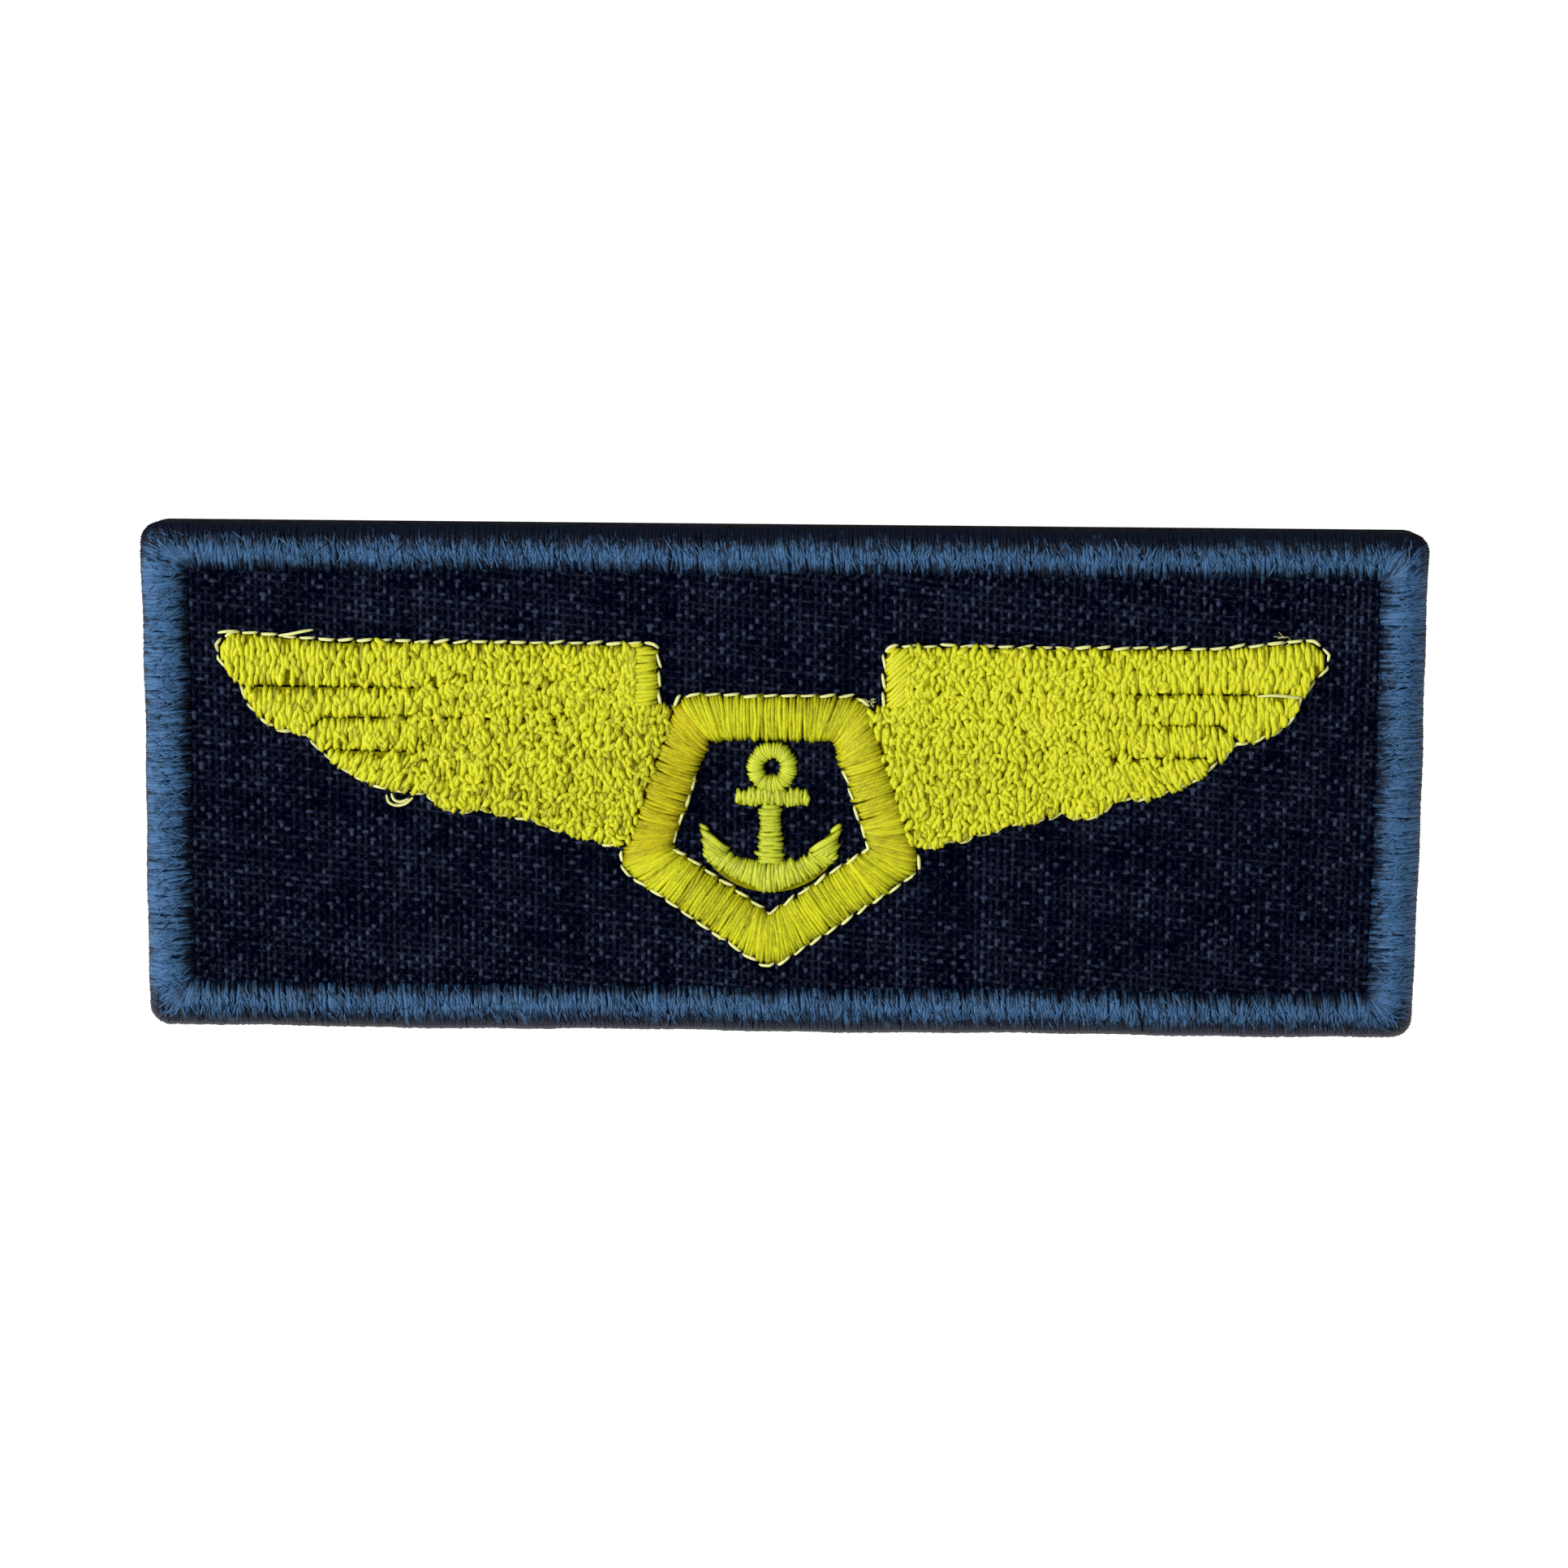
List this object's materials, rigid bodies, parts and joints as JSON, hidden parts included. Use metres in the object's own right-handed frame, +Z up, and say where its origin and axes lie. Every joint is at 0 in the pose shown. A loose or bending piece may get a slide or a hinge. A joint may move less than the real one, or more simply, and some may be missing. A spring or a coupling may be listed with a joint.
{
  "type": "embroidered wings patch",
  "caption": "Rectangular embroidered cloth patch with spread wings, a shield and an anchor, an overlocked border and a hook-and-loop backing that pulls off its garment panel.",
  "frame": {"origin": "centre of the loop panel's flat back, the face that is sewn to the garment", "axes": "+Z up as worn, +X along the long side to the right of a viewer facing the emblem, +Y into the garment, so the embroidered face looks towards -Y"},
  "size_m": [0.1, 0.0046, 0.04],
  "materials": {
    "loop_base": "matte woven nylon tape",
    "loop_fur": "matte brushed nylon loops",
    "hook_base": "matte woven nylon tape",
    "hook_bristle": "satin nylon monofilament hooks",
    "navy_thread": "polyester sewing thread",
    "stiffener_felt": "non-woven backing",
    "bobbin_thread": "polyester bobbin thread",
    "ground_cloth": "matte woven cloth",
    "border_thread": "satin polyester overlock thread",
    "feather_thread": "satin polyester embroidery thread",
    "shield_thread": "satin polyester embroidery thread",
    "anchor_thread": "satin polyester embroidery thread",
    "outline_thread": "satin polyester running stitch"
  },
  "bodies": {
    "garment_side": {"loop_tape": "loop_base", "loop_pile": "loop_fur"},
    "patch": {"hook_pile": "hook_bristle", "hook_tape": "hook_base", "hook_seam": "navy_thread", "stiffener": "stiffener_felt", "bobbin_thread": "bobbin_thread", "ground_fabric": "ground_cloth", "edge_border": "border_thread", "left_inner_column": "feather_thread", "left_first_feather": "feather_thread", "left_second_feather": "feather_thread", "left_third_feather": "feather_thread", "left_fourth_feather": "feather_thread", "left_fifth_feather": "feather_thread", "left_root_fill": "feather_thread", "left_wing_outline": "outline_thread", "right_inner_column": "feather_thread", "right_first_feather": "feather_thread", "right_second_feather": "feather_thread", "right_third_feather": "feather_thread", "right_fourth_feather": "feather_thread", "right_fifth_feather": "feather_thread", "right_root_fill": "feather_thread", "right_wing_outline": "outline_thread", "shield_top": "shield_thread", "shield_left_side": "shield_thread", "shield_right_side": "shield_thread", "shield_lower_left": "shield_thread", "shield_lower_right": "shield_thread", "shield_top_outline": "outline_thread", "shield_lower_outline": "outline_thread", "shield_inner_outline": "outline_thread", "anchor_ring": "anchor_thread", "anchor_stock": "anchor_thread", "anchor_shank": "anchor_thread", "anchor_arms": "anchor_thread", "anchor_left_fluke": "anchor_thread", "anchor_right_fluke": "anchor_thread"}
  },
  "joints": [
    {"name": "patch_pull_off", "type": "slide", "parent": "garment_side", "child": "patch", "axis": [0, -1, 0], "range_m": [0, 0.03]}
  ]
}
